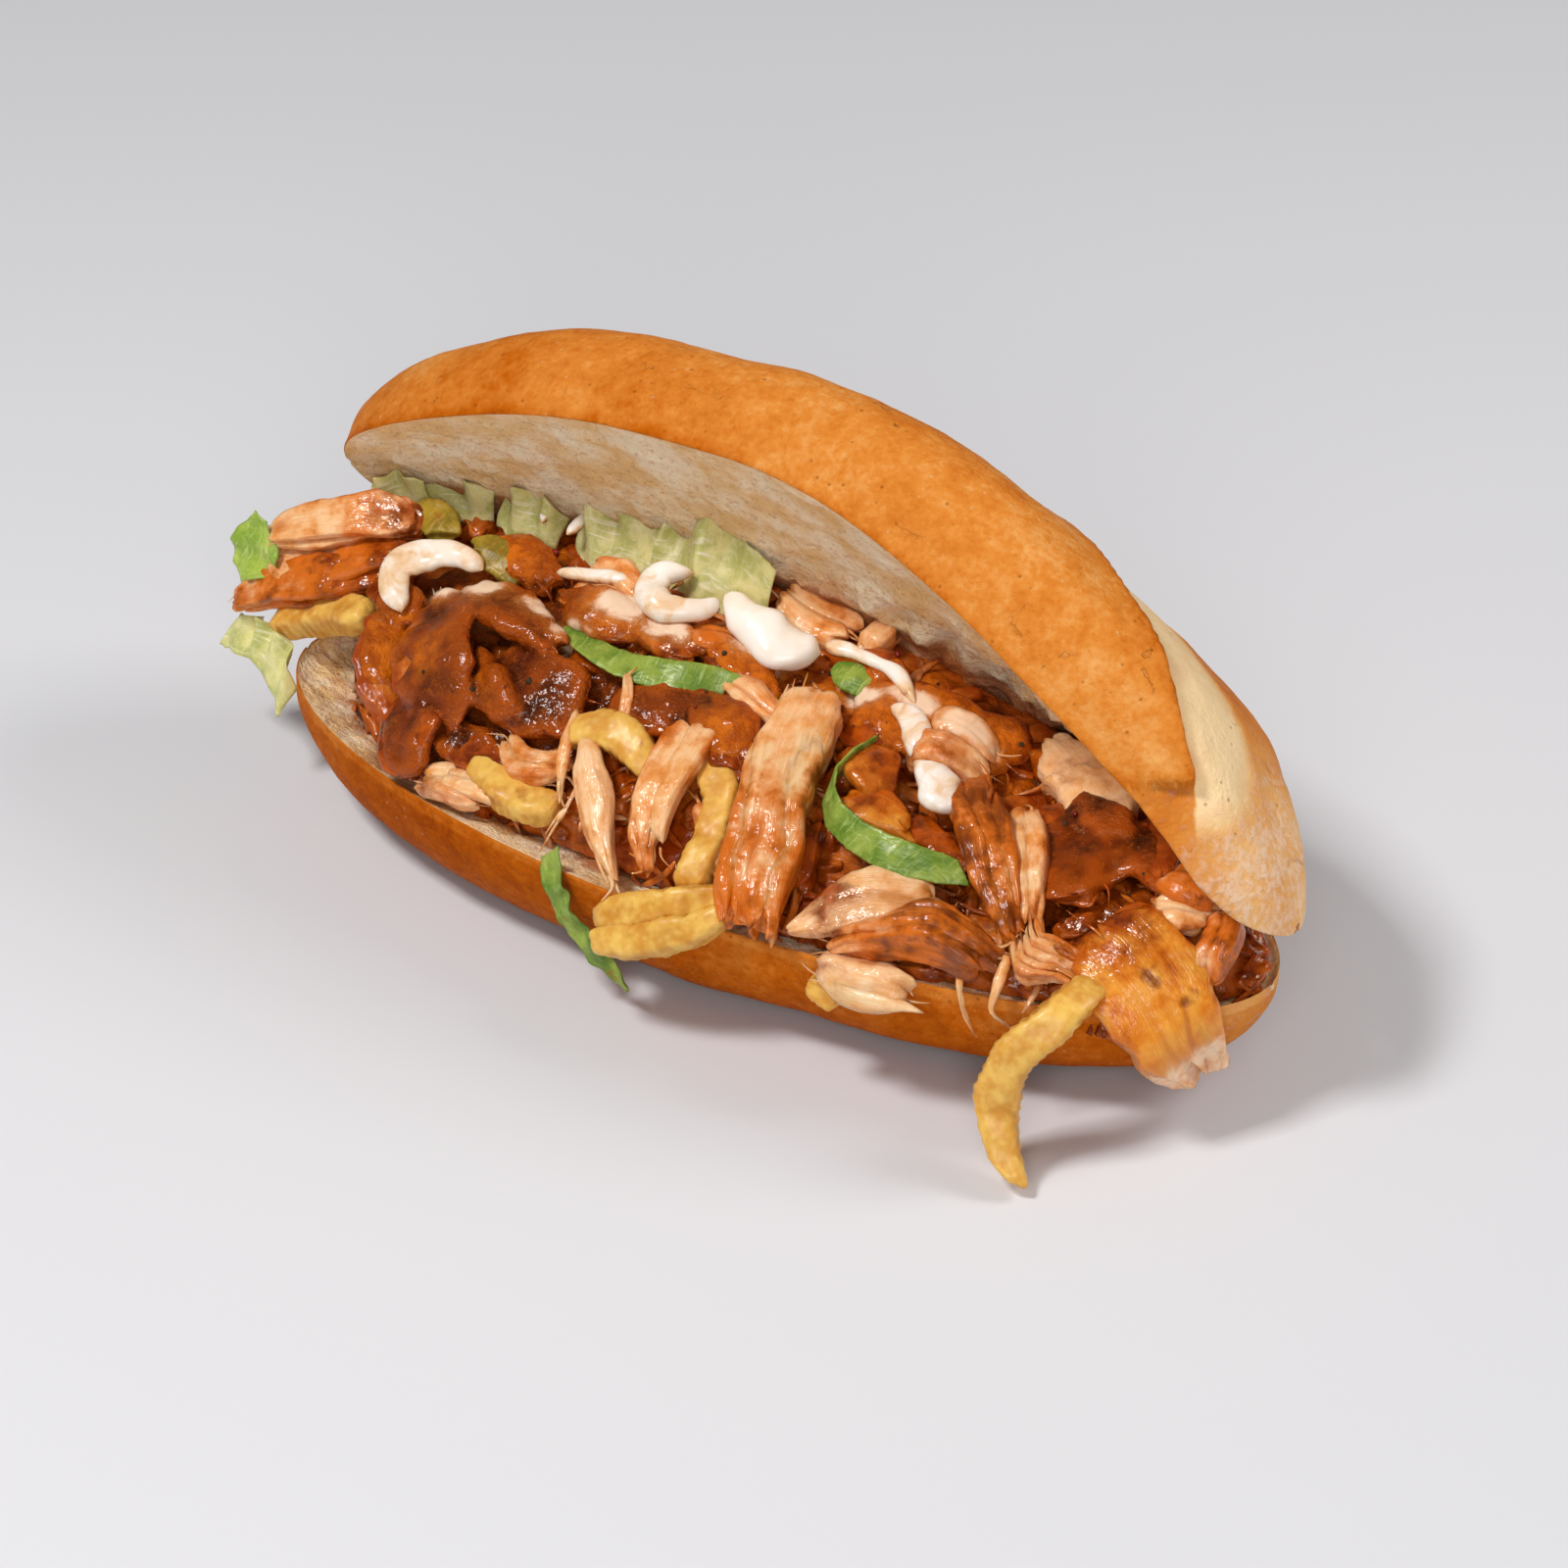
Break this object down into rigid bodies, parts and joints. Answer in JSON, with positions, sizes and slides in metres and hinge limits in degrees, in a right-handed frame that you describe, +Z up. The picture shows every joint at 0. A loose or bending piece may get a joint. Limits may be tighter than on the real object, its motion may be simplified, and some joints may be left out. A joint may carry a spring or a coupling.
{
  "type": "chicken sandwich",
  "caption": "Crusty oblong bread roll opened along one long side and heaped with torn sauced chicken, chips, lettuce and garlic mayonnaise.",
  "frame": {"origin": "middle of the bounding box, on the surface that the sandwich lies on", "axes": "+X along the roll towards its scored nose, +Y towards the hinge side, +Z up; the filled side faces -Y"},
  "size_m": [0.3142, 0.147, 0.1402],
  "materials": {
    "bread": "baked golden crust with a soft pale crumb on the cut faces",
    "filling": "chopped chicken wet with brown sauce",
    "chicken": "torn roast chicken, moist, browned in places",
    "sauced_chicken": "roast chicken under a wet brown sauce",
    "chips": "fried potato, slightly oily",
    "green_leaf": "cut green leaf, moist",
    "pale_lettuce": "pale crisp lettuce, moist",
    "garlic_mayonnaise": "smooth glossy white sauce",
    "pepper": "cooked pepper skin, glossy"
  },
  "bodies": {
    "root": {"chicken_charred": "chicken", "chicken_chunk": "chicken", "chicken_curled": "chicken", "chicken_curved": "chicken", "chicken_end_lower": "chicken", "chicken_end_upper": "chicken", "chicken_frayed": "chicken", "chicken_large": "chicken", "chicken_layered": "chicken", "chicken_orange_lower": "sauced_chicken", "chicken_orange_upper": "sauced_chicken", "chicken_pale_strip": "chicken", "chicken_pointed": "chicken", "chicken_rim_left": "chicken", "chicken_rolled": "chicken", "chicken_sauced_dark": "sauced_chicken", "chicken_sauced_diagonal": "sauced_chicken", "chicken_sauced_low": "sauced_chicken", "chicken_sauced_middle": "sauced_chicken", "chicken_sauced_orange": "sauced_chicken", "chicken_sauced_right": "sauced_chicken", "chicken_skin": "sauced_chicken", "chicken_slab": "sauced_chicken", "chicken_smeared": "sauced_chicken", "chicken_stick": "chicken", "chicken_under_lid": "chicken", "chicken_upper_left": "sauced_chicken", "chicken_upper_middle": "sauced_chicken", "chicken_upright": "chicken", "chicken_wedge": "chicken", "chicken_white": "chicken", "chip_behind": "chips", "chip_double": "chips", "chip_end": "chips", "chip_hanging": "chips", "chip_left": "chips", "chip_low": "chips", "chip_upper": "chips", "filling": "filling", "green_fold": "green_leaf", "green_frill": "green_leaf", "green_hanging": "green_leaf", "green_ribbon_left": "green_leaf", "green_ribbon_right": "green_leaf", "lettuce_1": "pale_lettuce", "lettuce_2": "pale_lettuce", "lettuce_3": "pale_lettuce", "lettuce_4": "pale_lettuce", "lettuce_5": "pale_lettuce", "lettuce_end": "pale_lettuce", "mayo_curl": "garlic_mayonnaise", "mayo_large": "garlic_mayonnaise", "mayo_low": "garlic_mayonnaise", "mayo_ring": "garlic_mayonnaise", "mayo_streak_left": "garlic_mayonnaise", "mayo_streak_right": "garlic_mayonnaise", "mayo_swirl": "garlic_mayonnaise", "pepper_left": "pepper", "pepper_right": "pepper", "roll": "bread"}
  },
  "joints": []
}
